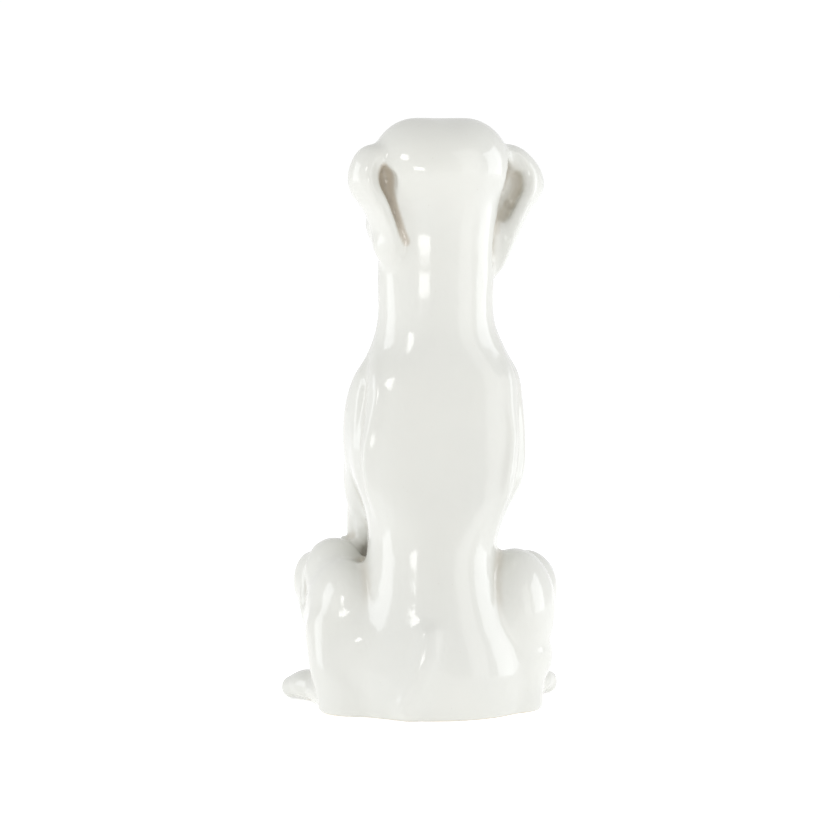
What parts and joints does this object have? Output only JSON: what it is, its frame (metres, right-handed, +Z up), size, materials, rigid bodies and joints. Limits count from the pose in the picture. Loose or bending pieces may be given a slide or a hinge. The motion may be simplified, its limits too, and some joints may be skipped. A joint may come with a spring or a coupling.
{
  "type": "ceramic dog sculpture",
  "caption": "Seated drop-eared dog in glossy white ceramic, hollow, with its head turned a little to its left, standing on an unglazed foot rim.",
  "frame": {"origin": "middle of the outline, seen from above, at the height of the surface the dog sits on", "axes": "+Z up, -Y the way the dog's chest faces, +X to the dog's left"},
  "size_m": [0.1912, 0.2044, 0.4],
  "materials": {
    "glaze": "gloss",
    "bisque": "matte"
  },
  "bodies": {
    "root": {"trunk": "glaze", "base_plate": "bisque", "tail": "glaze", "left_foreleg": "glaze", "left_haunch": "glaze", "left_hind_foot": "glaze", "right_foreleg": "glaze", "right_haunch": "glaze", "right_hind_foot": "glaze", "head": "glaze", "left_ear": "glaze", "right_ear": "glaze"}
  },
  "joints": []
}
